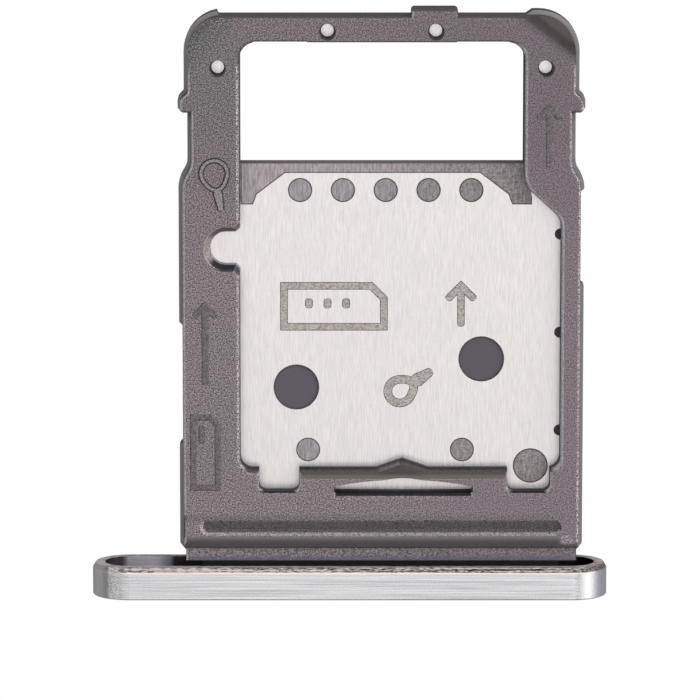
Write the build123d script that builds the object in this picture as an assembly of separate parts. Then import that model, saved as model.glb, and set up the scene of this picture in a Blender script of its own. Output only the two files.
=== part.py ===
from build123d import *
import math
import os

os.makedirs("parts", exist_ok=True)

# Sim card tray: a plastic frame moulded over a stamped steel sheet, in a hollow aluminium head.
# Millimetres. +Z is up, out of the memory card pocket. +Y runs from the head to the leading tip.
# The origin is under the middle of the whole tray, level with the underside of the head.
# Stations are distances along +Y from the outer face of the head.

# Memory card, seated face up between the rails
memory_card_width = 11.0
memory_card_length = 15.0
memory_card_play = 0.10
memory_card_seat = 0.72

# Nano sim, seated in the underside with its long edge across the tray
sim_width = 12.3
sim_length = 8.8
sim_play = 0.10
sim_seat = 0.70
sim_cut_corner = 1.65
sim_mouth = 0.08

# Steel sheet and the plastic web behind it
steel_thickness = 0.15
web_thickness = 0.20

# Head
head_width = 18.15
head_height = 2.65
head_depth = 1.15
head_wall = 0.45
head_rim_bevel = 0.11
head_rim_bevel_length = 0.18
head_face_edge = 0.04
recess_depth = 0.60
ejector_radius = 0.57

# Body across: half widths come from the full width and the steps in it
body_offset = 1.11
body_width = 13.88
waist_inset = 0.32
tip_inset = 0.20
neck_inset = 0.225
nub_reach = 0.08
nub_flange_step = 0.09
flange_step = 0.155
flange_height = 0.86
relief_leaves = 0.04
top_edge_round = 0.12

# Body along: stations from the head's outer face
neck_gap = 0.15
neck_round = 0.10
shoulder_station = 1.75
shoulder_round = 0.30
neck_drop = 0.26
side_shoulder_station = 1.54
side_shoulder_length = 0.26
side_shoulder_round = 0.15
pocket_station = 4.60
sim_station = 5.30
bend_station = 14.72
bend_length = 0.54
bend_round = 0.90
nub_station = 17.16
nub_length = 0.68
nub_crest = 0.44
nub_corner = 0.14
nub_round = 0.26
window_station = 15.31
tip_bar = 0.90
tip_corner = 1.25
right_relief = (11.10, 14.30)
left_relief = (5.42, 9.58)

# Tongue that seats on the floor of the head's recess
tongue_half_width = 6.30
tongue_bottom = 0.80
tongue_top = 1.42

# Memory card pocket
pocket_left = -3.83
pocket_corner = 0.45
card_shoulder_station = 13.42
card_shoulder_rise = 1.20
card_shoulder_inset = 1.30
card_shoulder_rounds = (0.64, 0.90)
window_corner = 0.58
mouth_round = 0.25
mouth_side = 0.12
mouth_far = 0.06
mouth_angles = (0, 30, 60, 90)

# Retaining strip: a bump on its front and a lens-shaped slot behind it
bump_centre = 1.85
bump_half_width = 0.90
bump_height = 0.32
bump_rounds = (0.50, 0.26)
slot_ends = (-0.55, 4.32)
slot_front_station = 3.77
slot_end_width = 0.21
slot_middle_width = 0.46
slot_bump_half_width = 0.62
slot_bump_height = 0.06
slot_corner = 0.10

# Recesses that show the sheet's tabs
tab_recess_left = (-3.18, -1.77)
tab_recess_right = (5.53, 7.02)
tab_recess_station = 3.81
tab_recess_corner = 0.26
side_tab_centre = (-4.32, 12.37)
side_tab_radius = 0.55
side_tab_draft = 18.0
side_tab_flare = 0.14

# Witness holes over the sheet, in pairs either side of the body's middle
witness_rail = (5.70, 18.70)
witness_bar = (1.885, 19.98)
witness_radius = 0.22
witness_mouth_radius = 0.30

# Plastic plugs through the sheet: centre across, station, radius
plug_row_first = -1.73
plug_row_pitch = 1.495
plug_row_count = 5
plug_row_station = 14.38
plug_radius = 0.42
lower_plugs = ((-1.46, 5.18), (3.95, 5.18))
large_plugs = ((-1.87, 7.41), (4.62, 8.41))
large_plug_radius = 0.80
large_plug_dish = 0.05
tab_plug = (6.36, 4.61)
tab_plug_radius = 0.61
edge_hole_stations = (5.88, 9.36, 12.83)
edge_hole_radius = 0.20

# Outline of the sheet inside the plastic
sheet_start_station = 3.40
sheet_edge_cover = 0.42
sheet_end_cover = 0.24
sheet_bar = 0.53
sheet_rail_cover = 0.28
sheet_corner = 0.90
sheet_start_corner = 0.45

# Edge of the sheet's plate at the window, even about its own middle: half widths and stations
plate_middle = 1.15
plate_top = (3.41, 15.00)
plate_bevel = (4.41, 14.24)
plate_step = (4.54, 13.89)
plate_rounds = (0.05, 0.18, 0.30)

# Tip of the tray
tip_tab = (2.14, 3.77)
tip_tab_root = 0.45
tip_tab_reach = 0.24
tip_tab_corner = 0.12
lip_gap = (-4.58, 6.14)
lip_ends = (0.06, 0.22)
ramp_slope = 50.0
left_ramp = ((-4.56, 20.50), (-5.80, 19.05))
right_ramp = ((6.05, 20.45), (8.00, 19.00))
bar_step_depth = 0.09
bar_step_height = 0.45
bar_steps = ((-3.38, -1.48), (3.72, 5.55))

# Groove across the body, behind the shoulder
groove_station = 2.51
groove_width = 0.56
groove_depth = 0.20
groove_side_slope = 45.0
groove_ends = (-5.26, 7.47)

# How far a cutting solid reaches past the surface that it cuts
overshoot = 1.0

# Levels and stations that follow from the sizes above
body_thickness = memory_card_seat + steel_thickness + web_thickness + sim_seat
mid_level = head_height / 2
bottom_level = mid_level - body_thickness / 2
top_level = bottom_level + body_thickness
steel_top = top_level - memory_card_seat
steel_bottom = steel_top - steel_thickness
split_level = bottom_level + flange_height
half_width = body_width / 2
pocket_right = pocket_left + memory_card_width + 2 * memory_card_play
window_end_station = pocket_station + memory_card_length
tip_station = window_end_station + tip_bar
overall_length = tip_station + tip_tab_reach
neck_end_station = head_depth + neck_gap
ejector_x = (head_height - head_width) / 2
shoulder_crest = shoulder_station + shoulder_round


def at(station):
    """Y coordinate of a station."""
    return station - overall_length / 2


def point(x, station):
    return (x, at(station))


def rectangle(x_low, x_high, station_low, station_high):
    """Face on the XY plane between two X values and two stations."""
    middle = Pos((x_low + x_high) / 2, at((station_low + station_high) / 2))
    return middle * Rectangle(x_high - x_low, station_high - station_low)


def block(face, level_low, level_high):
    """Straight extrusion of a face between two levels."""
    return extrude(Pos(0, 0, level_low) * face, level_high - level_low)


def shifted_corners(corners, shifts):
    """Corners of a polygon after each side has moved out by its own distance.

    Side i runs from corner i to the next one, and the corners go anticlockwise.
    """
    lines = []
    for i, (x0, y0) in enumerate(corners):
        x1, y1 = corners[(i + 1) % len(corners)]
        length = math.hypot(x1 - x0, y1 - y0)
        dx = (x1 - x0) / length
        dy = (y1 - y0) / length
        lines.append((x0 + dy * shifts[i], y0 - dx * shifts[i], dx, dy))
    moved = []
    for i, (xb, yb, dxb, dyb) in enumerate(lines):
        xa, ya, dxa, dya = lines[i - 1]
        cross = dxa * dyb - dya * dxb
        along = ((xb - xa) * dyb - (yb - ya) * dxb) / cross
        moved.append((xa + dxa * along, ya + dya * along))
    return moved


def rounded_face(corners, radii):
    return make_face(FilletPolyline(*corners, radius=radii, close=True))


def mouth_steps(radius):
    """Levels below the top face, and shares of the widening, of a quarter-round mouth."""
    steps = []
    for degrees in mouth_angles:
        angle = math.radians(degrees)
        steps.append((radius * (1 - math.sin(angle)), 1 - math.cos(angle)))
    return steps


def flared_pit(corners, radii, widening, floor_level, radius):
    """Solid that cuts a pit whose mouth widens in a quarter round at the top face."""
    sections = [Pos(0, 0, floor_level) * rounded_face(corners, radii)]
    for below, share in mouth_steps(radius):
        moved = shifted_corners(corners, [share * side for side in widening])
        sections.append(Pos(0, 0, top_level - below) * rounded_face(moved, radii))
    last = sections[-1]
    pit = loft(sections, ruled=True)
    return pit + extrude(last, mouth_round)


def body_outline(step, nub_step):
    """Plan of the body, without the tab at its tip, with its sides moved out by a step."""
    neck_half = half_width - neck_inset + step
    main_half = half_width + step
    waist_half = half_width - waist_inset + step
    nub_half = half_width + nub_reach + nub_step
    tip_half = half_width - tip_inset + step
    tip_end = tip_station + step
    corners = [
        (point(neck_half, side_shoulder_station), side_shoulder_round),
        (point(main_half, side_shoulder_station + side_shoulder_length), side_shoulder_round),
        (point(main_half, bend_station), bend_round),
        (point(waist_half, bend_station + bend_length), bend_round),
        (point(waist_half, nub_station), 0),
        (point(nub_half, nub_station), nub_corner),
        (point(nub_half, nub_station + nub_crest), nub_round),
        (point(tip_half, nub_station + nub_length), nub_corner),
        (point(tip_half, tip_end), tip_corner + step),
    ]
    turns = [corner for corner, radius in corners]
    radii = [radius for corner, radius in corners]
    front_station = side_shoulder_station - side_shoulder_round
    front = [point(0, front_station), point(neck_half, front_station)]
    with BuildLine() as edge:
        FilletPolyline(*front, *turns, point(0, tip_end), radius=[0, *radii])
        Line(point(0, tip_end), front[0])
    half = make_face(edge.edges())
    return Pos(body_offset, 0) * (half + mirror(half, about=Plane.YZ))


def tip_tab_face():
    corners = [
        point(tip_tab[0], tip_station - tip_tab_root),
        point(tip_tab[1], tip_station - tip_tab_root),
        point(tip_tab[1], overall_length),
        point(tip_tab[0], overall_length),
    ]
    return rounded_face(corners, [0, 0, tip_tab_corner, tip_tab_corner])


def relief(edge, away, stations):
    """Wedge-ended notch in one side of the flange, from an edge outwards."""
    low, high = stations
    reach = edge + away * tip_corner
    corners = [point(edge, low), point(reach, low - tip_corner), point(reach, high + tip_corner), point(edge, high)]
    return make_face(Polyline(*corners, close=True))


def tip_gap():
    """Gap between the two lips of the flange at the tip, which run out to it at a slope."""
    left, right = lip_gap
    left_run, right_run = lip_ends
    rise = 2 * flange_step
    corners = [
        point(left, tip_station),
        point(right, tip_station),
        point(right + 2 * right_run, tip_station + rise),
        point(left - 2 * left_run, tip_station + rise),
    ]
    return make_face(Polyline(*corners, close=True))


def flange_outline():
    """Lower outline: wider than the top by the flange, and cut back at its reliefs and at the tip."""
    wide = body_outline(flange_step, nub_flange_step)
    wide -= tip_gap()
    wide -= relief(body_offset - half_width - relief_leaves, -1, left_relief)
    wide -= relief(body_offset + half_width + relief_leaves, 1, right_relief)
    return wide


def pocket_corners():
    """Plan of the memory card pocket and window, anticlockwise from the corner by the left tab."""
    narrow_right = pocket_right - card_shoulder_inset
    return [
        point(pocket_left, pocket_station),
        point(bump_centre - bump_half_width, pocket_station),
        point(bump_centre, pocket_station + bump_height),
        point(bump_centre + bump_half_width, pocket_station),
        point(pocket_right, pocket_station),
        point(pocket_right, card_shoulder_station),
        point(narrow_right, card_shoulder_station + card_shoulder_rise),
        point(narrow_right, window_end_station),
        point(pocket_left, window_end_station),
    ]


def pocket_radii():
    base_round, peak_round = bump_rounds
    return [
        pocket_corner,
        base_round,
        peak_round,
        base_round,
        pocket_corner,
        *card_shoulder_rounds,
        window_corner,
        window_corner,
    ]


def card_pit():
    front = mouth_round
    side = mouth_side
    widening = [front, front, front, front, side, side, side, mouth_far, side]
    return flared_pit(pocket_corners(), pocket_radii(), widening, steel_top, mouth_round)


def window_hole():
    """Part of the pocket's plan past the shelf, right through the body."""
    plan = rounded_face(pocket_corners(), pocket_radii())
    beyond = rectangle(pocket_left - overshoot, pocket_right + overshoot, window_station, window_end_station + overshoot)
    return block(plan & beyond, bottom_level - overshoot, top_level)


def tab_pit(span):
    """Recess over one of the sheet's end tabs, open to the pocket."""
    corners = [
        point(span[0], tab_recess_station),
        point(span[1], tab_recess_station),
        point(span[1], pocket_station + pocket_corner),
        point(span[0], pocket_station + pocket_corner),
    ]
    widening = [mouth_side, mouth_side, 0, mouth_side]
    radii = [tab_recess_corner, tab_recess_corner, 0, 0]
    return flared_pit(corners, radii, widening, steel_top, mouth_side)


def side_tab_pit():
    """Drafted round recess in the left rail, which widens where it meets the pocket."""
    x, station = side_tab_centre
    corners = []
    for side in (-1, 1):
        outline = [
            point(x, station + side * side_tab_radius),
            point(pocket_left - side_tab_flare, station + side * side_tab_radius),
            point(pocket_left + mouth_side, station + side * (side_tab_radius + side_tab_flare + mouth_side)),
        ]
        corners += outline[::-side]
    plan = Pos(x, at(station)) * Circle(side_tab_radius) + make_face(Polyline(*corners, close=True))
    return extrude(Pos(0, 0, steel_top) * plan, memory_card_seat, taper=-side_tab_draft)


def slot_arch(x):
    """Point of the arch behind the slot: highest at the slot's middle, lowest at its ends."""
    left, right = slot_ends
    share = (2 * x - left - right) / (right - left)
    width = slot_end_width + (slot_middle_width - slot_end_width) * (1 - share ** 2)
    return point(x, slot_front_station + width)


def slot_face(front_widening):
    """Lens-shaped slot behind the strip: straight in front, arched behind, with a bump in step with the strip's."""
    front = slot_front_station - front_widening
    left, right = slot_ends
    foot_left = bump_centre - slot_bump_half_width
    foot_right = bump_centre + slot_bump_half_width
    peak = point(bump_centre, slot_front_station + slot_middle_width + slot_bump_height)
    with BuildLine() as edge:
        FilletPolyline(slot_arch(left), point(left, front), point(right, front), slot_arch(right), radius=slot_corner)
        ThreePointArc(slot_arch(right), slot_arch((right + foot_right) / 2), slot_arch(foot_right))
        ThreePointArc(slot_arch(foot_right), peak, slot_arch(foot_left))
        ThreePointArc(slot_arch(foot_left), slot_arch((left + foot_left) / 2), slot_arch(left))
    return make_face(edge.edges())


def strip_slot():
    sections = [Pos(0, 0, steel_top) * slot_face(0)]
    for below, share in mouth_steps(mouth_round):
        sections.append(Pos(0, 0, top_level - below) * slot_face(share * mouth_round))
    return loft(sections, ruled=True)


def witness_holes():
    holes = []
    depth = top_level - steel_top
    for across, station in (witness_rail, witness_bar):
        for side in (-1, 1):
            cone = Cone(witness_radius, witness_mouth_radius, depth)
            holes.append(Pos(body_offset + side * across, at(station), steel_top + depth / 2) * cone)
    return holes


def sim_corners():
    """Plan of the sim pocket, with the card's cut corner."""
    width = sim_width + 2 * sim_play
    left = body_offset - width / 2
    right = body_offset + width / 2
    end = sim_station + sim_length + 2 * sim_play
    return [
        point(left, sim_station),
        point(right, sim_station),
        point(right, end),
        point(left + sim_cut_corner, end),
        point(left, end - sim_cut_corner),
    ]


def sim_pit():
    corners = sim_corners()
    radii = [sim_mouth] * len(corners)
    wide = shifted_corners(corners, radii)
    sections = [
        Pos(0, 0, bottom_level) * rounded_face(wide, radii),
        Pos(0, 0, bottom_level + sim_mouth) * rounded_face(corners, radii),
        Pos(0, 0, bottom_level + sim_seat) * rounded_face(corners, radii),
    ]
    return loft(sections, ruled=True)


def corner_ramp(line):
    """Solid above a plane that slopes down and out from a line on the top face."""
    (x0, station0), (x1, station1) = line
    along = Vector(x1 - x0, station1 - station0, 0).normalized()
    out = Vector(along.Y, -along.X, 0)
    if out.Y < 0:
        out = -out
    slope = math.radians(ramp_slope)
    normal = out * math.sin(slope) + Vector(0, 0, math.cos(slope))
    plane = Plane(origin=(x0, at(station0), top_level), x_dir=along, z_dir=normal)
    reach = tip_corner * 4
    return plane * extrude(Rectangle(reach, reach), tip_corner)


def shoulder_cuts():
    """Room above and below the neck, with the rounded shoulder at its end."""
    neck_top = top_level - neck_drop
    with BuildLine(Plane.YZ) as edge:
        foot = (at(shoulder_station), neck_top)
        crest = (at(shoulder_crest), top_level)
        Polyline(crest, (crest[0], top_level + overshoot), (at(0), top_level + overshoot), (at(0), neck_top), foot)
        TangentArc(crest, foot, tangent=(-1, 0))
    profile = make_face(edge.edges())
    above = extrude(profile, body_width, both=True)
    return [above, mirror(above, about=Plane.XY.offset(mid_level))]


def front_groove():
    """Shallow groove with round ends: a long slope down from behind, and steep in front and at its ends."""
    left, right = groove_ends
    outline = Pos((left + right) / 2, at(groove_station), top_level) * SlotOverall(right - left, groove_width)
    pit = extrude(outline, -groove_depth, taper=groove_side_slope) + extrude(outline, overshoot)
    side_run = groove_depth / math.tan(math.radians(groove_side_slope))
    slope = math.atan2(groove_depth, groove_width - side_run)
    back = at(groove_station + groove_width / 2)
    slide = Plane(origin=(0, back, top_level), x_dir=(1, 0, 0), z_dir=(0, -math.sin(slope), math.cos(slope)))
    return pit & slide * extrude(Rectangle(2 * body_width, 2 * body_width), overshoot)


def bar_step_cuts():
    """Two shallow steps in the window's edge of the tip bar."""
    cuts = []
    for left, right in bar_steps:
        face = rectangle(left, right, window_end_station - overshoot, window_end_station + bar_step_depth)
        cuts.append(block(face, top_level - bar_step_height, top_level))
    return cuts


def sheet_window():
    """Opening of the steel ring: round the window, and down to the visible edge of the plate."""
    left = pocket_left - sheet_rail_cover
    right = pocket_right - card_shoulder_inset + sheet_rail_cover
    end = tip_station - sheet_end_cover - sheet_bar
    edge = [plate_step, plate_bevel, plate_top]
    falling = [point(plate_middle - half, station) for half, station in edge]
    rising = [point(plate_middle + half, station) for half, station in reversed(edge)]
    corners = [
        point(left, plate_step[1]),
        *falling,
        *rising,
        point(right, plate_step[1]),
        point(right, end),
        point(left, end),
    ]
    step_round, bevel_round, ring_round = plate_rounds
    rounds = [step_round, bevel_round, bevel_round]
    return rounded_face(corners, [0, *rounds, *reversed(rounds), 0, ring_round, ring_round])


def plug_holes():
    """Faces of the round holes in the sheet that the plastic fills."""
    spots = []
    for i in range(plug_row_count):
        spots.append((plug_row_first + i * plug_row_pitch, plug_row_station, plug_radius))
    for x, station in lower_plugs:
        spots.append((x, station, plug_radius))
    for x, station in large_plugs:
        spots.append((x, station, large_plug_radius))
    spots.append((*tab_plug, tab_plug_radius))
    for station in edge_hole_stations:
        spots.append((pocket_right, station, edge_hole_radius))
    return [Pos(x, at(station)) * Circle(radius) for x, station, radius in spots]


def steel_insert():
    """Stamped sheet: the pocket's floor, its end tabs and the ring round the window."""
    wide = half_width - sheet_edge_cover
    slim = half_width - waist_inset - sheet_edge_cover
    end = tip_station - sheet_end_cover
    outline = rectangle(body_offset - wide, body_offset + wide, sheet_start_station, bend_station)
    outline += rectangle(body_offset - slim, body_offset + slim, bend_station - sheet_corner, end)
    outline = fillet(outline.vertices().group_by(Axis.Y)[-1], sheet_corner)
    outline = fillet(outline.vertices().group_by(Axis.Y)[0], sheet_start_corner)
    outline -= sheet_window()
    for hole in plug_holes():
        outline -= hole
    return block(outline, steel_bottom, steel_top)


def large_plug_dishes():
    """Shallow dishes in the two large plugs."""
    dishes = []
    for x, station in large_plugs:
        face = Pos(x, at(station)) * Circle(large_plug_radius)
        dishes.append(block(face, steel_top - large_plug_dish, steel_top))
    return dishes


def neck():
    """Thinner end of the body, which stops short of the head's rim."""
    half = half_width - neck_inset + flange_step
    face = rectangle(body_offset - half, body_offset + half, neck_end_station, shoulder_crest)
    plate = block(face, bottom_level + neck_drop, top_level - neck_drop)
    return fillet(plate.edges().filter_by(Axis.Y), neck_round)


def tongue():
    """Plate on the end of the neck that seats on the floor of the head's recess."""
    left = body_offset - tongue_half_width
    right = body_offset + tongue_half_width
    face = rectangle(left, right, head_depth - recess_depth, neck_end_station)
    return block(face, tongue_bottom, tongue_top)


def tray_frame(sheet):
    upper = block(body_outline(0, 0) + tip_tab_face(), split_level, top_level)
    top_edges = upper.faces().sort_by(Axis.Z)[-1].outer_wire().edges()
    upper = fillet(top_edges, top_edge_round)
    lower = block(flange_outline() + tip_tab_face(), bottom_level, split_level)
    frame = upper + lower
    for cut in shoulder_cuts():
        frame -= cut
    frame += neck()
    frame += tongue()
    frame -= card_pit()
    frame -= window_hole()
    for cut in bar_step_cuts():
        frame -= cut
    frame -= tab_pit(tab_recess_left)
    frame -= tab_pit(tab_recess_right)
    frame -= side_tab_pit()
    frame -= strip_slot()
    for hole in witness_holes():
        frame -= hole
    frame -= sim_pit()
    frame -= corner_ramp(left_ramp)
    frame -= corner_ramp(right_ramp)
    frame -= front_groove()
    frame -= sheet
    for dish in large_plug_dishes():
        frame -= dish
    return frame


def tray_head():
    """Hollow stadium cup, open towards the body, with the ejector hole at the centre of one round end."""
    face = Plane(origin=(0, at(0), mid_level), x_dir=(1, 0, 0), z_dir=(0, -1, 0))
    rim = face.offset(-head_depth)
    outer = extrude(face * SlotOverall(head_width, head_height), -head_depth)
    rim_edges = outer.faces().sort_by(Axis.Y)[-1].edges()
    rim_side = outer.faces().sort_by(Axis.Y)[-1]
    outer = chamfer(rim_edges, head_rim_bevel, head_rim_bevel_length, reference=rim_side)
    outer = chamfer(outer.faces().sort_by(Axis.Y)[0].edges(), head_face_edge)
    recess = SlotOverall(head_width - 2 * head_wall, head_height - 2 * head_wall)
    cup = outer - extrude(rim * recess, recess_depth)
    hole = face * Pos(ejector_x, 0) * Circle(ejector_radius)
    return cup - extrude(hole, -head_depth)


sheet = steel_insert()
export_step(tray_frame(sheet), "parts/tray_frame.step")
export_step(sheet, "parts/steel_insert.step")
export_step(tray_head(), "parts/tray_head.step")
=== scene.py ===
import math

import bmesh
import bpy
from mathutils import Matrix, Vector


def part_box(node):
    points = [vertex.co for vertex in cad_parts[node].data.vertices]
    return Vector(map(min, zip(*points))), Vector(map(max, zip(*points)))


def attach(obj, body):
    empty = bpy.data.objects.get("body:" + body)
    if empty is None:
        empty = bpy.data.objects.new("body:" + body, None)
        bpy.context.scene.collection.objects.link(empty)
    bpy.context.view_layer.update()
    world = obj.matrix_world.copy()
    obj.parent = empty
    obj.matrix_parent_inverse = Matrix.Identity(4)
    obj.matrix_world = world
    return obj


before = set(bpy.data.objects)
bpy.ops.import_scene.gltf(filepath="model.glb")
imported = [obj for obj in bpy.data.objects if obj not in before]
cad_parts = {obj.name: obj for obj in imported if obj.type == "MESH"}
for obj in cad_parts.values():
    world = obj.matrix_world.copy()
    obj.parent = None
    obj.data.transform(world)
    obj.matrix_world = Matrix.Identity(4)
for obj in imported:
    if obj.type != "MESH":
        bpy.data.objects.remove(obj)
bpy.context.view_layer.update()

# Sim card tray. Metres in the CAD frame: +Y runs from the head to the tip, and +Z is up out of the card pocket.
# Sizes below are in millimetres, and MM turns them to metres. A station is a distance from the head's face.
MM = 0.001
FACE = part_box("tray_head")[0].y
RAIL_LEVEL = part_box("tray_frame")[1].z
PLATE_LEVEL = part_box("steel_insert")[1].z
RAIL_TOP = RAIL_LEVEL / MM
PLATE_TOP = PLATE_LEVEL / MM

# Camera over the tray, tipped towards its tip as in the photograph
CAMERA_DISTANCE = 180 * MM
CAMERA_TILT = math.radians(8.9)
CAMERA_TARGET = Vector((0.012, -1.643, 1.5)) * MM
SENSOR = 36.0
PICTURE = 700
FOCAL_PIXELS = 5130

# Studio, in metres: a big softbox overhead, a smaller one on the right, dim surroundings, and a plain floor
SURROUND = 0.20
OVERHEAD = {"name": "overhead", "place": (0.05, 0.17, 0.50), "size": 0.95, "radiance": 0.96}
SIDE = {"name": "side", "place": (0.50, 0.08, 0.24), "size": 0.44, "radiance": 2.0}
FLOOR_HALF = 0.6
FLOOR_SHADE = 0.38
FLOOR_CLOUDS = 1.03

# Raised and etched marks, and the seams between plastic and steel
SUNK = 0.004
RAIL_MARK_HEIGHT = 0.05
RAIL_MARK_EDGE = 0.05
ETCH_HEIGHT = 0.006
ETCH_EDGE = 0.04
SEAM_HEIGHT = 0.003
SEAM_EDGE = 0.008
SEAM_HALF_WIDTH = 0.015
LAYER = 0.0015
CAP_STEPS = 6
RING_STEPS = 40
RING_POINT = 6
SHARPEST_CORNER = 0.4

# Plugs and holes, as X and station, with radii
LARGE_PLUGS = ((-1.87, 7.41), (4.62, 8.41))
LARGE_PLUG_RADIUS = 0.80
SMALL_PLUGS = ((-1.46, 5.18), (3.95, 5.18))
SMALL_PLUG_RADIUS = 0.42
PLUG_ROW = {"first": -1.73, "pitch": 1.495, "count": 5, "station": 14.38}
EDGE_HOLES = ((7.40, 5.88), (7.40, 9.36), (7.40, 12.83))
EDGE_HOLE_RADIUS = 0.27
TAB_PLUG = (6.36, 4.61)
TAB_PLUG_RADIUS = 0.61

# Areas of the frame in plan: X from left to right, and stations from front to back
POCKET = {"left": -5.3, "right": 7.5, "front": 3.2, "back": 15.0}
POCKET_FLOOR = {"left": -5.2, "right": 7.4, "front": 3.3, "back": 15.6}
ROW_FLOOR = {"left": -2.2, "right": 4.75, "front": 13.93, "back": 14.83}
STRIP = {"left": -1.72, "right": 5.58, "front": 4.25, "back": 5.0}

# Other places on the frame, as stations, or as X and station
SHELF_EDGE = {"front": 15.1, "back": 16.6}
GROOVE_STATION = 2.51
SHOULDER = {"start": 2.20, "full": 2.02, "end": 1.84}
NECK_END = 1.55
RAIL_END = 18.7
TIP_WALL = 19.6
RIGHT_RAMP = {"place": (6.05, 20.45), "towards": (0.597, 0.802)}
LEFT_RAMP = {"place": (-4.56, 20.50), "towards": (-0.760, 0.650)}
SIDE_RECESS = {"x": -4.32, "station": 12.37, "radius": 1.1}
SHOULDER_GLINT = {"x": 7.62, "station": 2.05, "radius": 0.22}

# Head: its outline is a slot round this height, with its rim and the start of its bevel at these stations
HEAD_MIDDLE = 1.325
HEAD_STRAIGHT = 7.75
RECESS_RADIUS = 0.875
RECESS_FLOOR = 0.40
RIM_STATION = 1.15
BEVEL_STATION = RIM_STATION - 0.18

# Plain colours of the frame: its own tones, and painted light and shade
EDGE_PAINTED_GLINT = (0.80, 0.74, 0.74)
FLANGE_PAINTED_LIGHT = (0.33, 0.312, 0.320)
COOL_TINT = (0.88, 0.92, 0.93)
LARGE_PLUG_DARK = (0.118, 0.098, 0.126)
EDGE_HOLE_DARK = (0.030, 0.040, 0.055)
TONGUE_PAINTED_SHADE = (0.03, 0.028, 0.032)
HOLLOW_PAINTED_SHADE = (0.012, 0.010, 0.012)
TIP_TINT = (0.84, 0.84, 0.84)
LEFT_TIP_TINT = (0.94, 0.985, 0.96)
STRIP_LINE = (0.38, 0.34, 0.32)
NECK_TINT = (0.84, 0.86, 0.87)
NECK_PAINTED_SHADE = (0.10, 0.112, 0.145)
GLINT = (0.62, 0.59, 0.61)
WALL_TO_HEAD_PAINTED_SHADE = (0.17, 0.132, 0.120)
STEEL_PAINTED_REFLECTION = (0.36, 0.40, 0.46)
TIP_PAINTED_GLINTS = (0.42, 0.39, 0.39)
RAMP_EDGE_PAINTED_SHADE = (0.17, 0.14, 0.135)
RAMP_LIP_PAINTED_SHADE = (0.115, 0.093, 0.093)

# Plain colours of the head, all painted light and shade: glints, reflections and the recess's shade
BEVEL_PAINTED_GLINT = (1.0, 0.90, 0.80)
RIM_PAINTED_REFLECTION = (1.0, 0.90, 0.86)
LEFT_END_PAINTED_GLINTS = (0.92, 0.90, 0.92)
RIGHT_END_PAINTED_GLINT_EDGE = (0.42, 0.42, 0.44)
RIGHT_END_PAINTED_GLINT = (0.84, 0.845, 0.83)
RIGHT_END_PAINTED_REFLECTION = (0.74, 0.74, 0.82)
LEFT_END_PAINTED_LIGHT = (0.95, 0.93, 0.96)
RECESS_PAINTED_SHADE = (0.09, 0.078, 0.09)


def at(x, station):
    """Point in plan, in metres, from an X value and a station in millimetres."""
    return Vector((x * MM, FACE + station * MM))


# ---------------------------------------------------------------- node helpers

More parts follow.
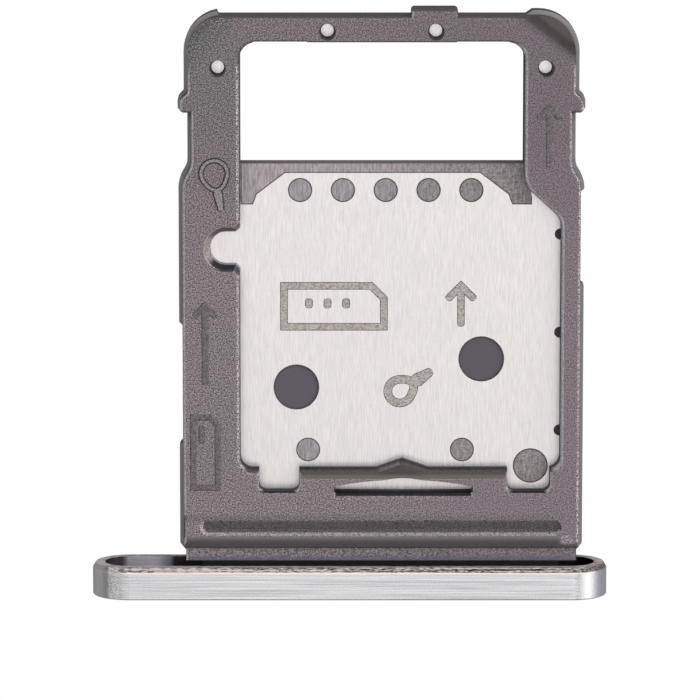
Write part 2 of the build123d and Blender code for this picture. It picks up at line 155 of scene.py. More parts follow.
class Tree:
    """Node tree of one material, built up with short calls."""

    def __init__(self, name):
        self.material = bpy.data.materials.new(name)
        self.material.use_nodes = True
        self.nodes = self.material.node_tree.nodes
        self.links = self.material.node_tree.links
        self.shader = self.nodes["Principled BSDF"]
        self.place = self.nodes.new("ShaderNodeTexCoord").outputs["Object"]
        self.across = self.math("DIVIDE", self.axis("X"), MM)
        self.station = self.math("DIVIDE", self.math("SUBTRACT", self.axis("Y"), FACE), MM)
        self.height = self.math("DIVIDE", self.axis("Z"), MM)

    def link(self, source, target):
        """Link from one socket to another."""
        self.links.new(source, target)

    def fill(self, socket, value):
        """Socket filled by a link, a plain colour or a number."""
        if isinstance(value, bpy.types.NodeSocket):
            self.link(value, socket)
        elif isinstance(value, tuple):
            socket.default_value = (*value, 1)
        else:
            socket.default_value = value

    def stretched(self, x, y, z):
        """Object coordinates, scaled along each axis."""
        node = self.nodes.new("ShaderNodeMapping")
        node.inputs["Scale"].default_value = (x, y, z)
        self.link(self.place, node.inputs["Vector"])
        return node.outputs["Vector"]

    def noise(self, size, vector=None, detail=2.0, roughness=0.6):
        """Noise whose blotches are about a size in millimetres."""
        node = self.nodes.new("ShaderNodeTexNoise")
        node.inputs["Scale"].default_value = 1 / (size * MM)
        node.inputs["Detail"].default_value = detail
        node.inputs["Roughness"].default_value = roughness
        self.link(vector or self.place, node.inputs["Vector"])
        return node.outputs["Fac"]

    def ramp(self, source, low, high, dark, light):
        """Colour between two colours as a value goes between two limits."""
        node = self.nodes.new("ShaderNodeValToRGB")
        node.color_ramp.elements[0].position = low
        node.color_ramp.elements[0].color = (*dark, 1)
        node.color_ramp.elements[1].position = high
        node.color_ramp.elements[1].color = (*light, 1)
        self.link(source, node.inputs["Fac"])
        return node.outputs["Color"]

    def span(self, source, low, high, out_low=0.0, out_high=1.0):
        """Value remapped between limits and clamped, with a smooth start and end."""
        node = self.nodes.new("ShaderNodeMapRange")
        node.interpolation_type = "SMOOTHSTEP"
        limits = (("From Min", low), ("From Max", high), ("To Min", out_low), ("To Max", out_high))
        for name, value in limits:
            node.inputs[name].default_value = value
        self.link(source, node.inputs["Value"])
        return node.outputs["Result"]

    def fall(self, source, low, high):
        """One below two limits, and nought above them."""
        return self.span(source, low, high, 1.0, 0.0)

    def band(self, source, start, end, soft):
        """One between two limits, with soft ends, and nought beyond them."""
        rising = self.span(source, start - soft, start + soft)
        return self.all(rising, self.fall(source, end - soft, end + soft))

    def mix(self, factor, first, second, blend="MIX"):
        """Blend of two colours, each a socket or a plain colour."""
        node = self.nodes.new("ShaderNodeMix")
        node.data_type = "RGBA"
        node.blend_type = blend
        self.fill(node.inputs[0], factor)
        self.fill(node.inputs[6], first)
        self.fill(node.inputs[7], second)
        return node.outputs[2]

    def tinted(self, colour, tint):
        """Colour multiplied by another."""
        return self.mix(1.0, colour, tint, "MULTIPLY")

    def math(self, operation, first, second=0.0):
        """Outcome of an operation on one or two values, each a socket or a number."""
        node = self.nodes.new("ShaderNodeMath")
        node.operation = operation
        self.fill(node.inputs[0], first)
        self.fill(node.inputs[1], second)
        return node.outputs[0]

    def mean(self, first, second):
        """Mean of two values."""
        return self.math("MULTIPLY", self.math("ADD", first, second), 0.5)

    def all(self, *masks):
        """Product of masks."""
        product = masks[0]
        for mask in masks[1:]:
            product = self.math("MULTIPLY", product, mask)
        return product

    def axis(self, name):
        """One of the X, Y and Z object coordinates, in metres."""
        node = self.nodes.new("ShaderNodeSeparateXYZ")
        self.link(self.place, node.inputs[0])
        return node.outputs[name]

    def facing(self, name):
        """How far the surface faces along one axis, from its own normal."""
        node = self.nodes.new("ShaderNodeSeparateXYZ")
        geometry = self.nodes.new("ShaderNodeNewGeometry")
        self.link(geometry.outputs["Normal"], node.inputs[0])
        return node.outputs[name]

    def level(self):
        """One where the surface is level, nought where it stands upright."""
        return self.math("ABSOLUTE", self.facing("Z"))

    def beyond(self, place, towards):
        """Distance in plan past a line through a place, in millimetres, as X and station."""
        across = self.math("MULTIPLY", self.math("SUBTRACT", self.across, place[0]), towards[0])
        along = self.math("MULTIPLY", self.math("SUBTRACT", self.station, place[1]), towards[1])
        return self.math("ADD", across, along)

    def near(self, x, station, radius):
        """One inside a circle in plan, nought outside it."""
        node = self.nodes.new("ShaderNodeVectorMath")
        node.operation = "DISTANCE"
        self.link(self.stretched(1, 1, 0), node.inputs[0])
        node.inputs[1].default_value = (*at(x, station), 0)
        soft = 0.01
        return self.fall(node.outputs["Value"], (radius - soft) * MM, (radius + soft) * MM)

    def area(self, limits, soft_across, soft_along):
        """One inside an area in plan, nought outside it, with soft edges in millimetres."""
        return self.all(self.band(self.across, limits["left"], limits["right"], soft_across),
                        self.band(self.station, limits["front"], limits["back"], soft_along))

    def hollow(self, reach, low, high):
        """One in the open, nought in a hollow, from how much is within reach, in millimetres."""
        node = self.nodes.new("ShaderNodeAmbientOcclusion")
        node.inputs["Distance"].default_value = reach * MM
        node.samples = 8
        return self.span(node.outputs["AO"], low, high)

    def bump(self, source, depth, strength):
        """Bump whose full height is a depth in millimetres."""
        node = self.nodes.new("ShaderNodeBump")
        node.inputs["Distance"].default_value = depth * MM
        node.inputs["Strength"].default_value = strength
        self.link(source, node.inputs["Height"])
        self.link(node.outputs["Normal"], self.shader.inputs["Normal"])

    def finish(self, colour, metallic, roughness):
        """Finished material, from what fills the shader's main sockets."""
        self.fill(self.shader.inputs["Base Color"], colour)
        self.fill(self.shader.inputs["Metallic"], metallic)
        self.fill(self.shader.inputs["Roughness"], roughness)
        return self.material


# ---------------------------------------------------------------- the frame's plastic

def frame_plastic():
    """Grey moulded plastic, with one grain over all of it, a look of its own for each place, and painted light
    and shade on its walls, slopes, edges and hollows.
    """
    tree = Tree("frame_plastic")
    grain = tree.noise(0.047, detail=3.0, roughness=0.85)
    colour = moulded_skin(tree, grain)
    for place in (strip, shoulder, walls, lit_edges, groove, ramps, painted_edge_glints):
        colour = place(tree, grain, colour)
    colour = low_places(tree, colour)
    # Painted shade on the tongue, inside the head's recess
    tongue = tree.fall(tree.station, RIM_STATION + 0.10, RIM_STATION + 0.14)
    colour = tree.mix(tongue, colour, TONGUE_PAINTED_SHADE)
    # Painted shade in hollows and crevices, from the ambient occlusion of nearby faces
    colour = tree.mix(tree.hollow(0.5, 0.12, 0.55), HOLLOW_PAINTED_SHADE, colour)
    tree.bump(grain, 0.02, 0.6)
    tree.link(tree.span(tree.level(), 0.5, 0.8, 0.06, 0.5), tree.shader.inputs["Specular IOR Level"])
    return tree.finish(colour, 0.0, 0.5)


def moulded_skin(tree, grain):
    """Moulded skin: the speckle is stronger on the left, and the tip is darker, and greener on its left."""
    coarse = tree.ramp(grain, 0.42, 0.62, (0.040, 0.032, 0.036), (0.575, 0.482, 0.512))
    fine = tree.ramp(grain, 0.40, 0.62, (0.070, 0.055, 0.062), (0.45, 0.358, 0.400))
    skin = tree.mix(tree.span(tree.across, -2, 6), coarse, fine)
    clouds = tree.ramp(tree.noise(3.0, detail=1.0), 0.4, 0.65, (1.0, 0.97, 1.0), (0.93, 0.97, 0.95))
    skin = tree.tinted(skin, clouds)
    skin = tree.mix(tree.span(tree.station, 11, 17), skin, tree.tinted(skin, TIP_TINT))
    left_tip = tree.all(tree.fall(tree.across, -4.4, -3.6), tree.span(tree.station, 15.5, 17.0))
    return tree.mix(left_tip, skin, tree.tinted(skin, LEFT_TIP_TINT))


def strip(tree, grain, skin):
    """Retaining strip: smooth and dark, with a broken light line at its front."""
    front = STRIP["front"]
    near_slot = tree.ramp(grain, 0.2, 0.8, (0.125, 0.100, 0.096), (0.20, 0.165, 0.160))
    near_pocket = tree.ramp(grain, 0.2, 0.8, (0.045, 0.035, 0.032), (0.090, 0.072, 0.066))
    smooth_dark = tree.mix(tree.span(tree.station, front + 0.08, front + 0.22), near_slot, near_pocket)
    colour = tree.mix(tree.area(STRIP, 0.04, 0.02), skin, smooth_dark)
    line = tree.all(tree.band(tree.across, STRIP["left"], STRIP["right"], 0.04),
                    tree.band(tree.station, front - 0.03, front + 0.01, 0.01),
                    tree.span(grain, 0.42, 0.55))
    return tree.mix(line, colour, STRIP_LINE)


def shoulder(tree, grain, skin):
    """Shoulder and neck: smooth, with painted shade that deepens as they fall towards the head, a painted glint
    at the right, and cool painted shade beside the head.
    """
    start, full, end = SHOULDER["start"], SHOULDER["full"], SHOULDER["end"]
    # Painted shade: the slope darkens as it falls towards the head
    dark = tree.ramp(grain, 0.2, 0.8, (0.058, 0.048, 0.054), (0.115, 0.098, 0.110))
    light = tree.ramp(grain, 0.2, 0.8, (0.15, 0.127, 0.138), (0.24, 0.205, 0.222))
    falling = tree.mix(tree.span(tree.station, full, start), dark, light)
    smooth = tree.all(tree.band(tree.station, end - 0.1, start, 0.04), tree.fall(tree.across, 7.2, 7.8))
    colour = tree.mix(smooth, skin, falling)
    neck = tree.fall(tree.station, end - 0.1, end)
    colour = tree.mix(neck, colour, tree.tinted(colour, NECK_TINT))
    # Painted glint at the shoulder's right end
    glint = tree.all(tree.near(**SHOULDER_GLINT), tree.span(grain, 0.50, 0.58))
    colour = tree.mix(glint, colour, GLINT)
    # Cool painted shade where the neck meets the head
    return tree.mix(tree.span(tree.station, NECK_END - 0.22, NECK_END, 0.75, 0.0), colour, NECK_PAINTED_SHADE)


def walls(tree, grain, skin):
    """Steep faces, in painted shade darker than the level skin, which look different inside the pocket and
    outside it.
    """
    inside = tree.area(POCKET, 0.05, 0.05)
    wall = tree.mix(inside, outer_walls(tree, grain), pocket_walls(tree, grain, inside))
    return tree.mix(tree.span(tree.level(), 0.72, 0.985), wall, skin)


def pocket_walls(tree, grain, inside):
    """Walls of the pocket, all painted light and shade: a painted reflection of the steel at their foot, very
    dark painted shade above that, browner at the top and where they face the head.
    """
    dark = tree.ramp(grain, 0.42, 0.64, (0.004, 0.004, 0.007), (0.060, 0.055, 0.064))
    brown = tree.ramp(grain, 0.38, 0.64, (0.055, 0.044, 0.044), (0.175, 0.145, 0.142))
    high = tree.all(tree.span(tree.height, PLATE_TOP + 0.45, RAIL_TOP - 0.02),
                    tree.span(tree.station, STRIP["front"] - 0.10, STRIP["front"] + 0.05))
    wall = tree.mix(high, dark, brown)
    # Lighter brown painted shade on walls that face the head
    wall = tree.mix(tree.fall(tree.facing("Y"), -0.5, -0.2), wall, WALL_TO_HEAD_PAINTED_SHADE)
    # Painted reflection of the steel along the foot of the walls
    foot = tree.fall(tree.height, PLATE_TOP + 0.10, PLATE_TOP + 0.20)
    return tree.mix(tree.all(inside, foot, tree.span(grain, 0.36, 0.48)), wall, STEEL_PAINTED_REFLECTION)


def outer_walls(tree, grain):
    """Walls outside the pocket, in painted shade, and paler with painted light along the shelf's edge, where
    they face the tip.
    """
    plain = tree.ramp(grain, 0.36, 0.64, (0.098, 0.086, 0.090), (0.175, 0.155, 0.160))
    pale = tree.ramp(grain, 0.36, 0.64, (0.21, 0.19, 0.20), (0.36, 0.33, 0.345))
    shelf_edge = tree.all(tree.band(tree.station, SHELF_EDGE["front"], SHELF_EDGE["back"], 0.05),
                          tree.span(tree.facing("Y"), 0.5, 0.8))
    return tree.mix(shelf_edge, plain, pale)


def lit_edges(tree, grain, skin):
    """Painted highlights on edges in the light: those that face left, glints on the tip wall, and the rim of
    the side recess.
    """
    # Painted highlight along edges that face left
    left = tree.all(tree.fall(tree.facing("X"), -0.45, -0.15), tree.span(tree.facing("Z"), 0.2, 0.4))
    colour = tree.mix(left, skin, tree.ramp(grain, 0.40, 0.60, (0.26, 0.245, 0.250), (0.78, 0.74, 0.75)))
    # Painted glints on the tip wall where it faces the tip
    sparkle = tree.all(tree.band(tree.facing("Y"), 0.15, 0.55, 0.1),
                       tree.span(tree.station, TIP_WALL, TIP_WALL + 0.1),
                       tree.span(grain, 0.52, 0.60))
    colour = tree.mix(sparkle, colour, TIP_PAINTED_GLINTS)
    # Painted highlight on the rim of the side recess where it faces right
    rim = tree.all(tree.near(**SIDE_RECESS), tree.span(tree.facing("X"), 0.60, 0.85),
                   tree.fall(tree.facing("Z"), 0.98, 0.999))
    return tree.mix(rim, colour, tree.ramp(grain, 0.42, 0.60, (0.14, 0.115, 0.115), (0.72, 0.64, 0.63)))


def groove(tree, grain, skin):
    """Groove across the body: painted shade down its long slope and just past it, and painted glints up its
    steep front.
    """
    place = tree.band(tree.station, GROOVE_STATION - 0.36, GROOVE_STATION + 0.30, 0.03)
    upward = tree.span(tree.facing("Z"), 0.1, 0.3)
    slope = tree.all(place, tree.fall(tree.height, RAIL_TOP - 0.03, RAIL_TOP), upward)
    # Painted shade down the groove's long slope
    dark = tree.ramp(grain, 0.40, 0.66, (0.040, 0.032, 0.038), (0.27, 0.235, 0.250))
    colour = tree.mix(slope, skin, dark)
    # Painted shade just past the groove
    past = tree.all(tree.band(tree.station, GROOVE_STATION + 0.24, GROOVE_STATION + 0.45, 0.08),
                    upward, tree.fall(tree.across, 7.0, 7.6))
    shade = tree.ramp(grain, 0.42, 0.64, (0.055, 0.045, 0.050), (0.42, 0.37, 0.39))
    colour = tree.mix(past, colour, shade)
    # Painted glints up the groove's steep front
    front = tree.all(place, upward, tree.span(tree.facing("Y"), 0.2, 0.45),
                     tree.span(tree.height, RAIL_TOP - 0.13, RAIL_TOP - 0.07))
    return tree.mix(front, colour, tree.ramp(grain, 0.42, 0.58, (0.13, 0.11, 0.11), (0.66, 0.62, 0.59)))


def ramps(tree, grain, skin):
    """Corner ramps at the tip, in painted shade: the right one smooth and dark, the left one dark with strong
    painted glints.
    """
    top = tree.span(tree.facing("Z"), 0.45, 0.60)
    # Painted shade on the right ramp: smooth and dark, paler towards its outer edge and darker at its lip
    smooth_dark = tree.ramp(tree.noise(0.5), 0.3, 0.7, (0.050, 0.040, 0.042), (0.085, 0.068, 0.071))
    past = tree.beyond(**RIGHT_RAMP)
    colour = tree.mix(tree.all(tree.span(past, -0.30, 0.20), top), skin, smooth_dark)
    colour = tree.mix(tree.all(tree.span(past, 0.30, 0.62), top), colour, RAMP_EDGE_PAINTED_SHADE)
    lip = tree.all(tree.span(past, 0.10, 0.25), tree.fall(tree.height, RAIL_TOP - 0.5, RAIL_TOP - 0.3))
    colour = tree.mix(lip, colour, RAMP_LIP_PAINTED_SHADE)
    # Painted shade with strong painted glints over the grain on the left ramp
    sparkles = tree.ramp(grain, 0.53, 0.62, (0.068, 0.068, 0.066), (0.62, 0.62, 0.61))
    left = tree.all(tree.span(tree.beyond(**LEFT_RAMP), -0.8, -0.1), top)
    return tree.mix(tree.math("MULTIPLY", left, 0.8), colour, sparkles)


def painted_edge_glints(tree, grain, skin):
    """Painted glints: a broken light line along the tops of the edges that face right."""
    line = tree.all(tree.span(tree.facing("X"), 0.25, 0.5), tree.span(grain, 0.46, 0.58),
                    tree.span(tree.height, RAIL_TOP - 0.14, RAIL_TOP - 0.09),
                    tree.fall(tree.station, RAIL_END, RAIL_END + 0.2))
    return tree.mix(line, skin, EDGE_PAINTED_GLINT)


def low_places(tree, skin):
    """Places on a level with the steel: the flanges, in a paler plain colour that is painted light, and the
    pocket's floor with its plugs and edge holes.
    """
    low = tree.all(tree.fall(tree.height, PLATE_TOP + 0.02, PLATE_TOP + 0.06),
                   tree.span(tree.facing("Z"), 0.80, 0.95))
    # Painted light: a paler plain colour on the flanges, against the shade of the walls beside them
    colour = tree.mix(low, skin, FLANGE_PAINTED_LIGHT)
    pocket = tree.all(low, tree.area(POCKET_FLOOR, 0.01, 0.01))
    colour = tree.mix(pocket, colour, floor_skin(tree))
    left_plug = tree.near(*SMALL_PLUGS[0], SMALL_PLUG_RADIUS)
    cool = tree.all(pocket, tree.math("MAXIMUM", tree.area(ROW_FLOOR, 0.02, 0.02), left_plug))
    colour = tree.mix(cool, colour, tree.tinted(colour, COOL_TINT))
    for places, radius, dark in (
        (LARGE_PLUGS, LARGE_PLUG_RADIUS, LARGE_PLUG_DARK),
        (EDGE_HOLES, EDGE_HOLE_RADIUS, EDGE_HOLE_DARK),
    ):
        for place in places:
            colour = tree.mix(tree.all(tree.near(*place, radius), pocket), colour, dark)
    return colour


def floor_skin(tree):
    """Paler plastic of the pocket's floor, with fine ribs along the tray, and woven ones on the right."""
    ribs = tree.noise(0.06, tree.stretched(1.0, 0.15, 1.0), roughness=0.8)
    rows = tree.noise(0.06, tree.stretched(0.4, 1.0, 1.0), roughness=0.8)
    woven = tree.ramp(tree.mean(ribs, rows), 0.38, 0.62, (0.17, 0.145, 0.150), (0.50, 0.44, 0.45))
    plain = tree.ramp(ribs, 0.32, 0.68, (0.30, 0.258, 0.275), (0.60, 0.525, 0.550))
    return tree.mix(tree.span(tree.across, 0, 4), plain, woven)


# ---------------------------------------------------------------- metals

def insert_steel():
    """Bright stainless sheet, brushed along the tray, and speckled under the tip's witness holes, where a paler
    tone is painted light against the holes' shade.
    """
    tree = Tree("insert_steel")
    lines = tree.noise(0.04, tree.stretched(1.0, 0.07, 1.0), detail=3.0, roughness=0.8)
    brushed = tree.ramp(lines, 0.35, 0.65, (0.71, 0.675, 0.668), (0.93, 0.885, 0.875))
    clouds = tree.ramp(tree.noise(1.2), 0.35, 0.7, (0.985, 0.985, 1.0), (1.0, 1.0, 0.985))
    speckle = tree.ramp(tree.noise(0.07), 0.3, 0.50, (0.95, 0.905, 0.89), (1.0, 0.97, 0.955))
    # Paler speckle under the witness holes: painted light against their shade
    colour = tree.mix(tree.span(tree.station, 16.0, 17.0), tree.tinted(brushed, clouds), speckle)
    tree.bump(lines, 0.002, 0.3)
    return tree.finish(colour, 1.0, tree.span(lines, 0.3, 0.7, 0.34, 0.44))


def head_aluminium():
    """Satin aluminium with fine lines across the tray, a machined bevel round its rim, painted reflections and
    glints on its rim and ends, and a dark recess in painted shade.
    """
    tree = Tree("head_aluminium")
    lines = tree.noise(0.055, tree.stretched(0.008, 1.0, 1.0), detail=3.0, roughness=0.8)
    grain = tree.noise(0.05, roughness=0.8)
    streaks = cutter_streaks(tree)
    # Painted reflection: pale streaks on the rim's face towards the tray
    rim = tree.all(tree.span(tree.facing("Y"), 0.9, 0.97), tree.span(streaks, 0.42, 0.50))
    # Painted glints on the head's left end
    left_end_glints = tree.all(tree.band(tree.across, -8.50, -8.10, 0.08), tree.span(tree.facing("Z"), 0.2, 0.4),
                       tree.span(grain, 0.40, 0.52))
    colour = bevel(tree, streaks, satin(tree, lines, grain))
    colour = tree.mix(rim, colour, RIM_PAINTED_REFLECTION)
    colour = tree.mix(left_end_glints, colour, LEFT_END_PAINTED_GLINTS)
    colour = head_ends(tree, grain, colour)
    blasted = tree.ramp(grain, 0.35, 0.65, (0.50, 0.49, 0.545), (0.86, 0.85, 0.90))
    colour = tree.mix(tree.fall(tree.facing("Y"), -0.9, -0.6), colour, blasted)
    colour = tree.mix(recess_mask(tree), colour, recess(tree, lines))
    tree.bump(tree.math("ADD", lines, grain), 0.006, 0.35)
    # The painted reflection and glints are made less metallic, so their pale colour shows
    pale = tree.math("MAXIMUM", rim, left_end_glints)
    metallic = tree.math("SUBTRACT", 1.0, tree.math("MULTIPLY", pale, 0.9))
    return tree.finish(colour, metallic, 0.34)


def satin(tree, lines, grain):
    """Satin of the head: fine lines, under more of a speckle at its left end."""
    brushed = tree.ramp(lines, 0.36, 0.60, (0.44, 0.445, 0.46), (0.83, 0.825, 0.835))
    speckle = tree.ramp(grain, 0.35, 0.65, (0.45, 0.45, 0.47), (0.93, 0.93, 0.93))
    return tree.mix(tree.span(tree.across, -8.5, -7.9, 0.75, 0.3), brushed, speckle)


def cutter_streaks(tree):
    """Noise in streaks across the tray, as a cutter leaves them, straight ones and broken ones."""
    straight = tree.noise(0.035, tree.stretched(0.004, 1.0, 1.0), roughness=0.8)
    broken = tree.noise(0.045, tree.stretched(0.2, 1.0, 1.0), roughness=0.8)
    return tree.mean(straight, broken)


def bevel(tree, streaks, skin):
    """Machined bevel at the rim: cutter streaks in near-black and pale that are painted reflection, with a
    bright painted glint line where it starts.
    """
    machined = tree.ramp(streaks, 0.44, 0.555, (0.022, 0.018, 0.022), (0.68, 0.60, 0.58))
    colour = tree.mix(tree.span(tree.station, BEVEL_STATION, BEVEL_STATION + 0.02), skin, machined)
    line = tree.band(tree.station, BEVEL_STATION - 0.03, BEVEL_STATION + 0.01, 0.01)
    return tree.mix(line, colour, BEVEL_PAINTED_GLINT)


def head_ends(tree, grain, skin):
    """Round ends of the head, in painted light: on the right a dark speckle at the edge of a painted glint, the
    pale glint and a cool painted reflection in turn, and on the left a pale painted light.
    """
    outside = tree.fall(tree.station, BEVEL_STATION, BEVEL_STATION + 0.02)
    # Dark speckle along the edge of the painted glint on the right end
    glint_edge = tree.all(tree.band(tree.across, 7.96, 8.16, 0.07), tree.span(grain, 0.48, 0.58), outside)
    colour = tree.mix(glint_edge, skin, RIGHT_END_PAINTED_GLINT_EDGE)
    # Painted glint, then cool painted reflection, on the right end
    colour = tree.mix(tree.all(tree.band(tree.across, 8.12, 8.52, 0.12), outside), colour, RIGHT_END_PAINTED_GLINT)
    colour = tree.mix(tree.all(tree.span(tree.across, 8.55, 8.75), outside), colour, RIGHT_END_PAINTED_REFLECTION)
    # Painted light on the left end
    return tree.mix(tree.span(tree.across, -8.75, -8.35, 0.7, 0.0), colour, LEFT_END_PAINTED_LIGHT)


def recess(tree, lines):
    """Inside of the head: metal with turning lines in painted light at the ejector hole, dark painted shade
    elsewhere.
    """
    turned_in_painted_light = tree.ramp(lines, 0.36, 0.60, (0.78, 0.75, 0.85), (1.0, 0.97, 1.0))
    # Painted light inside the recess, at the ejector hole
    lit = tree.all(tree.span(tree.across, -8.12, -7.78), tree.span(tree.across, -6.9, -6.4, 1.0, 0.55))
    hole_end = tree.mix(lit, RECESS_PAINTED_SHADE, turned_in_painted_light)
    return tree.mix(tree.span(tree.across, -6.40, -6.20), hole_end, RECESS_PAINTED_SHADE)


def recess_mask(tree):
    """One on the inside of the head's recess, nought on its outside."""
    beyond = tree.math("SUBTRACT", tree.math("ABSOLUTE", tree.across), HEAD_STRAIGHT)
    beyond = tree.math("MAXIMUM", beyond, 0.0)
    height = tree.math("SUBTRACT", tree.height, HEAD_MIDDLE)
    squares = tree.math("ADD", tree.math("POWER", beyond, 2.0), tree.math("POWER", height, 2.0))
    within = tree.fall(tree.math("SQRT", squares), RECESS_RADIUS + 0.01, RECESS_RADIUS + 0.03)
    return tree.all(within, tree.span(tree.station, RECESS_FLOOR, RECESS_FLOOR + 0.10))


# ---------------------------------------------------------------- materials of the marks and seams

def rail_mark_plastic():
    """Plastic of the raised pin mark: speckled and a little paler on top, with dark painted shade down the
    sides.
    """
    tree = Tree("rail_mark_plastic")
    grain = tree.noise(0.055, detail=3.0, roughness=0.8)
    top = tree.ramp(grain, 0.40, 0.62, (0.14, 0.122, 0.128), (0.50, 0.46, 0.47))
    # Painted shade down the sides of the mark
    colour = tree.mix(tree.span(tree.facing("Z"), 0.80, 0.97), (0.045, 0.038, 0.042), top)
    tree.bump(grain, 0.02, 0.4)
    return tree.finish(colour, 0.0, 0.5)


def rail_mark_dark():
    """Plastic of the fainter marks, with the frame's speckle."""
    tree = Tree("rail_mark_dark")
    grain = tree.noise(0.055, detail=3.0, roughness=0.85)
    colour = tree.ramp(grain, 0.36, 0.64, (0.045, 0.037, 0.042), (0.27, 0.235, 0.25))
    tree.bump(grain, 0.02, 0.5)
    return tree.finish(colour, 0.0, 0.55)


def etched_steel():
    """Laser-etched grey with a dotted grain, and a dark line round its edge."""
    tree = Tree("etched_steel")
    dots = tree.noise(0.040, tree.stretched(0.6, 1.0, 1.0), roughness=0.8)
    fill = tree.ramp(dots, 0.38, 0.62, (0.31, 0.270, 0.252), (0.72, 0.665, 0.64))
    edge = tree.ramp(dots, 0.38, 0.60, (0.030, 0.024, 0.022), (0.22, 0.19, 0.175))
    colour = tree.mix(tree.span(tree.facing("Z"), 0.975, 0.998), edge, fill)
    tree.bump(dots, 0.01, 0.4)
    return tree.finish(colour, 0.4, 0.6)


def seam_dark():
    """Dark line where plastic meets steel, broken up by a fine grain."""
    tree = Tree("seam_dark")
    colour = tree.ramp(tree.noise(0.08), 0.35, 0.65, (0.035, 0.03, 0.032), (0.12, 0.10, 0.10))
    return tree.finish(colour, 0.0, 0.6)


# ---------------------------------------------------------------- strokes
# A stroke is a path in metres, its half width at each point in millimetres, and whether it closes.

def ring(centre, radius, half_width, drawn_out=0.0, towards=Vector((0, 1))):
    """Closed round stroke, which may be drawn out to a point on one side."""
    path = []
    for i in range(RING_STEPS):
        angle = 2 * math.pi * i / RING_STEPS
        spoke = Vector((math.cos(angle), math.sin(angle)))
        reach = radius * (1 + drawn_out * max(0.0, spoke.dot(towards)) ** RING_POINT)
        path.append(centre + spoke * reach * MM)
    return path, [half_width] * RING_STEPS, True


def bar(start, end, half_start, half_end):
    """Straight stroke with round ends, which may taper."""
    along = (end - start).normalized() * MM
    angles = [math.pi / 2 * i / CAP_STEPS for i in range(CAP_STEPS + 1)]
    path = [start + along * half_start * (1 - math.cos(angle)) for angle in angles]
    path += [end - along * half_end * (1 - math.sin(angle)) for angle in angles]
    widths = [half_start * math.sin(angle) for angle in angles]
    widths += [half_end * math.cos(angle) for angle in angles]
    return path, widths, False


def bend(start, corner, end, half_width):
    """Stroke with round ends and one sharp corner."""
    first, first_widths, _ = bar(start, corner, half_width, half_width)
    last, last_widths, _ = bar(corner, end, half_width, half_width)
    cap = CAP_STEPS + 1
    path = first[:cap] + [corner] + last[-cap:]
    return path, first_widths[:cap] + [half_width] + last_widths[-cap:], False


def outline(corners, half_width):
    """Closed stroke through corners."""
    return corners, [half_width] * len(corners), True


def add_ridge(mesh, stroke, level, height, edge):
    """Low raised line along a stroke: flat on top, with sloping sides that end just under the surface."""
    path, widths, closed = stroke
    count = len(path)
    rows = []
    for i, here in enumerate(path):
        before = path[i - 1] if closed or i else here
        after = path[(i + 1) % count] if closed or i < count - 1 else here
        arriving = (here - before) if here != before else (after - here)
        leaving = (after - here) if after != here else (here - before)
        along = (arriving.normalized() + leaving.normalized()).normalized()
        side = Vector((-along.y, along.x)) / max(SHARPEST_CORNER, along.dot(arriving.normalized()))
        half = widths[i]
        section = ((-half - edge, -SUNK), (-half, height), (half, height), (half + edge, -SUNK))
        row = []
        for across, up in section:
            spot = here + side * across * MM
            row.append(mesh.verts.new((spot.x, spot.y, level + up * MM)))
        rows.append(row)
    for i in range(count if closed else count - 1):
        first, second = rows[i], rows[(i + 1) % count]
        for j in range(len(first) - 1):
            mesh.faces.new((first[j], second[j], second[j + 1], first[j + 1]))


def mark(name, strokes, level, height, edge, material):
    """One piece made of strokes on a flat surface of the tray, each a little higher than the one before it."""
    mesh = bmesh.new()
    for i, stroke in enumerate(strokes):
        add_ridge(mesh, stroke, level, height + i * LAYER, edge)
    bmesh.ops.recalc_face_normals(mesh, faces=mesh.faces)
    for face in mesh.faces:
        if face.normal.z < 0:
            face.normal_flip()
    data = bpy.data.meshes.new(name)
    mesh.to_mesh(data)
    mesh.free()
    data.materials.append(material)
    piece = bpy.data.objects.new(name, data)
    bpy.context.scene.collection.objects.link(piece)
    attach(piece, "root")


# ---------------------------------------------------------------- marks and seams

def pin_strokes(loop, radius, tip, half_width, half_root, half_tip):
    """Generic picture of an ejector pin: a loop drawn out to a tapered pin."""
    towards = (tip - loop).normalized()
    drawn_out = 0.28
    start = loop + towards * radius * (1 + drawn_out) * MM
    return [ring(loop, radius, half_width, drawn_out, towards), bar(start, tip, half_root, half_tip)]


def card_strokes(left, right, low, high, cut, half_width):
    """Generic picture of a card: an outline with one cut corner and three contacts."""
    corners = [at(left, low), at(right, low), at(right, high - cut), at(right - cut, high), at(left, high)]
    strokes = [outline(corners, half_width)]
    inset = 4 * half_width
    top = high - inset
    bottom = top - (high - low) / 4
    for share in (0.2, 0.5, 0.8):
        x = left + inset + (right - cut - left - 2 * inset) * share
        strokes.append(bar(at(x, top), at(x, bottom), half_width, half_width))
    return strokes


def arrow_strokes(x, low, high, head, half_width):
    """Generic arrow along the tray, towards its tip."""
    return [
        bar(at(x, low), at(x, high), half_width, half_width),
        bend(at(x - head, high - head), at(x, high), at(x + head, high - head), half_width),
    ]


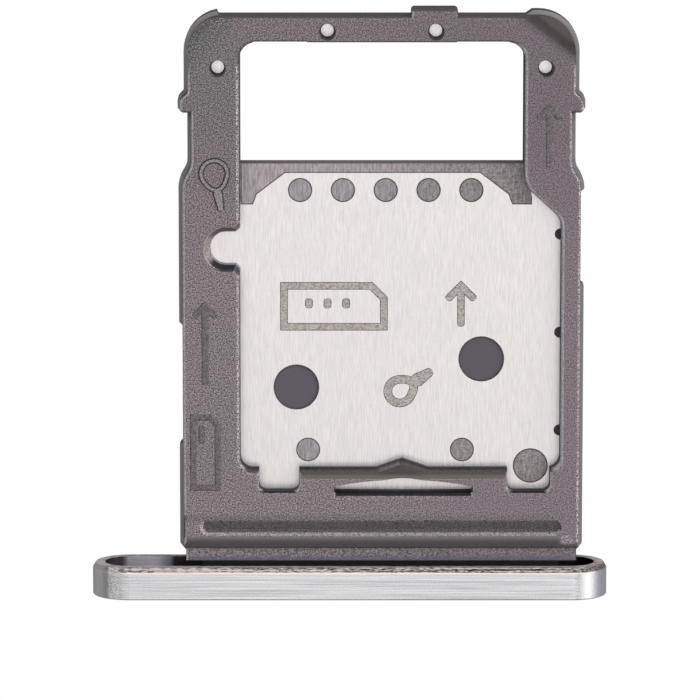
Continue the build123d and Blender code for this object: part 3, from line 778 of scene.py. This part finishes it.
def rail_marks():
    """Raised marks on the two rails."""
    pin = pin_strokes(loop=at(-4.71, 15.04), radius=0.46, tip=at(-4.47, 13.74),
                      half_width=0.05, half_root=0.14, half_tip=0.08)
    mark("mark_pin", pin, RAIL_LEVEL, RAIL_MARK_HEIGHT, RAIL_MARK_EDGE, rail_mark_plastic())
    arrow = arrow_strokes(x=-5.05, low=7.60, high=10.40, head=0.40, half_width=0.085)
    card = card_strokes(left=-5.48, right=-4.62, low=3.95, high=6.45, cut=0.26, half_width=0.075)
    slide = arrow_strokes(x=6.94, low=15.25, high=17.35, head=0.38, half_width=0.085)
    dark = rail_mark_dark()
    for name, strokes in (("mark_arrow", arrow), ("mark_card", card), ("mark_slide", slide)):
        mark(name, strokes, RAIL_LEVEL, RAIL_MARK_HEIGHT / 2, RAIL_MARK_EDGE, dark)


def plate_marks():
    """Etched marks on the steel plate."""
    pin = pin_strokes(loop=at(1.76, 7.26), radius=0.42, tip=at(2.90, 8.00),
                      half_width=0.13, half_root=0.22, half_tip=0.14)
    card = card_strokes(left=-2.30, right=1.20, low=9.55, high=11.00, cut=0.45, half_width=0.11)
    arrow = arrow_strokes(x=3.90, low=9.55, high=11.00, head=0.50, half_width=0.11)
    etched = etched_steel()
    for name, strokes in (("etched_pin", pin), ("etched_card", card), ("etched_arrow", arrow)):
        mark(name, strokes, PLATE_LEVEL, ETCH_HEIGHT, ETCH_EDGE, etched)


def plug_seams():
    """Strokes just inside the outlines of the plugs."""
    row = [(PLUG_ROW["first"] + i * PLUG_ROW["pitch"], PLUG_ROW["station"]) for i in range(PLUG_ROW["count"])]
    strokes = []
    for places, radius in (
        (LARGE_PLUGS, LARGE_PLUG_RADIUS),
        ((*SMALL_PLUGS, *row), SMALL_PLUG_RADIUS),
        ((TAB_PLUG,), TAB_PLUG_RADIUS),
    ):
        for place in places:
            strokes.append(ring(at(*place), radius - SEAM_HALF_WIDTH, SEAM_HALF_WIDTH))
    return strokes


def plate_seam():
    """Stroke along the plate's edge beside the shelf."""
    edge = [
        at(-3.79, 15.27), at(-3.79, 13.89), at(-3.39, 13.89), at(-3.26, 14.24), at(-2.26, 15.00),
        at(4.56, 15.00), at(5.56, 14.24), at(5.69, 13.89), at(6.35, 13.89), at(6.35, 14.18),
    ]
    return edge, [SEAM_HALF_WIDTH] * len(edge), False


def seams():
    """Dark outlines of the plugs, and of the plate's edge."""
    dark = seam_dark()
    for name, strokes in (("plug_seams", plug_seams()), ("plate_seam", [plate_seam()])):
        mark(name, strokes, PLATE_LEVEL, SEAM_HEIGHT, SEAM_EDGE, dark)


# ---------------------------------------------------------------- studio

def floor():
    """Plain pale floor, which the camera sees as pure white."""
    data = bpy.data.meshes.new("floor")
    half = FLOOR_HALF
    corners = [(-half, -half, 0), (half, -half, 0), (half, half, 0), (-half, half, 0)]
    data.from_pydata(corners, [], [(0, 1, 2, 3)])
    data.materials.append(floor_white())
    piece = bpy.data.objects.new("floor", data)
    bpy.context.scene.collection.objects.link(piece)


def floor_white():
    """Dull grey to the light, and white to the camera."""
    tree = Tree("floor")
    dark = (FLOOR_SHADE,) * 3
    light = (FLOOR_SHADE * FLOOR_CLOUDS,) * 3
    tree.finish(tree.ramp(tree.noise(20.0), 0.4, 0.6, dark, light), 0.0, 0.9)
    paths = tree.nodes.new("ShaderNodeLightPath")
    white = tree.nodes.new("ShaderNodeEmission")
    choose = tree.nodes.new("ShaderNodeMixShader")
    tree.link(paths.outputs["Is Camera Ray"], choose.inputs[0])
    tree.link(tree.shader.outputs[0], choose.inputs[1])
    tree.link(white.outputs[0], choose.inputs[2])
    tree.link(choose.outputs[0], tree.nodes["Material Output"].inputs["Surface"])
    return tree.material


def surround():
    """Dim plain surroundings."""
    world = bpy.data.worlds.new("studio")
    bpy.context.scene.world = world
    world.use_nodes = True
    background = world.node_tree.nodes["Background"]
    background.inputs["Color"].default_value = (1.0, 1.0, 1.0, 1)
    background.inputs["Strength"].default_value = SURROUND


def softbox(name, place, size, radiance):
    """Square soft light that faces the tray."""
    light = bpy.data.lights.new(name, "AREA")
    light.size = size
    light.energy = radiance * math.pi * size ** 2
    piece = bpy.data.objects.new(name, light)
    piece.location = place
    piece.rotation_euler = Vector(place).to_track_quat("Z", "Y").to_euler()
    bpy.context.scene.collection.objects.link(piece)


def camera():
    """Camera at the photograph's place, with its tilt and field of view."""
    data = bpy.data.cameras.new("camera")
    data.sensor_width = SENSOR
    data.lens = FOCAL_PIXELS / PICTURE * SENSOR
    data.clip_start = 10 * MM
    data.clip_end = 10.0
    piece = bpy.data.objects.new("camera", data)
    back = Vector((0, math.sin(CAMERA_TILT), math.cos(CAMERA_TILT)))
    piece.location = CAMERA_TARGET + back * CAMERA_DISTANCE
    piece.rotation_euler = (-CAMERA_TILT, 0, 0)
    bpy.context.scene.collection.objects.link(piece)
    bpy.context.scene.camera = piece


def dress_nodes():
    """Finished materials on the CAD nodes."""
    for name, material in (
        ("tray_frame", frame_plastic()),
        ("steel_insert", insert_steel()),
        ("tray_head", head_aluminium()),
    ):
        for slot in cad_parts[name].material_slots:
            slot.material = material


dress_nodes()
rail_marks()
plate_marks()
seams()
floor()
surround()
softbox(**OVERHEAD)
softbox(**SIDE)
camera()
bpy.context.scene.view_settings.view_transform = "Standard"
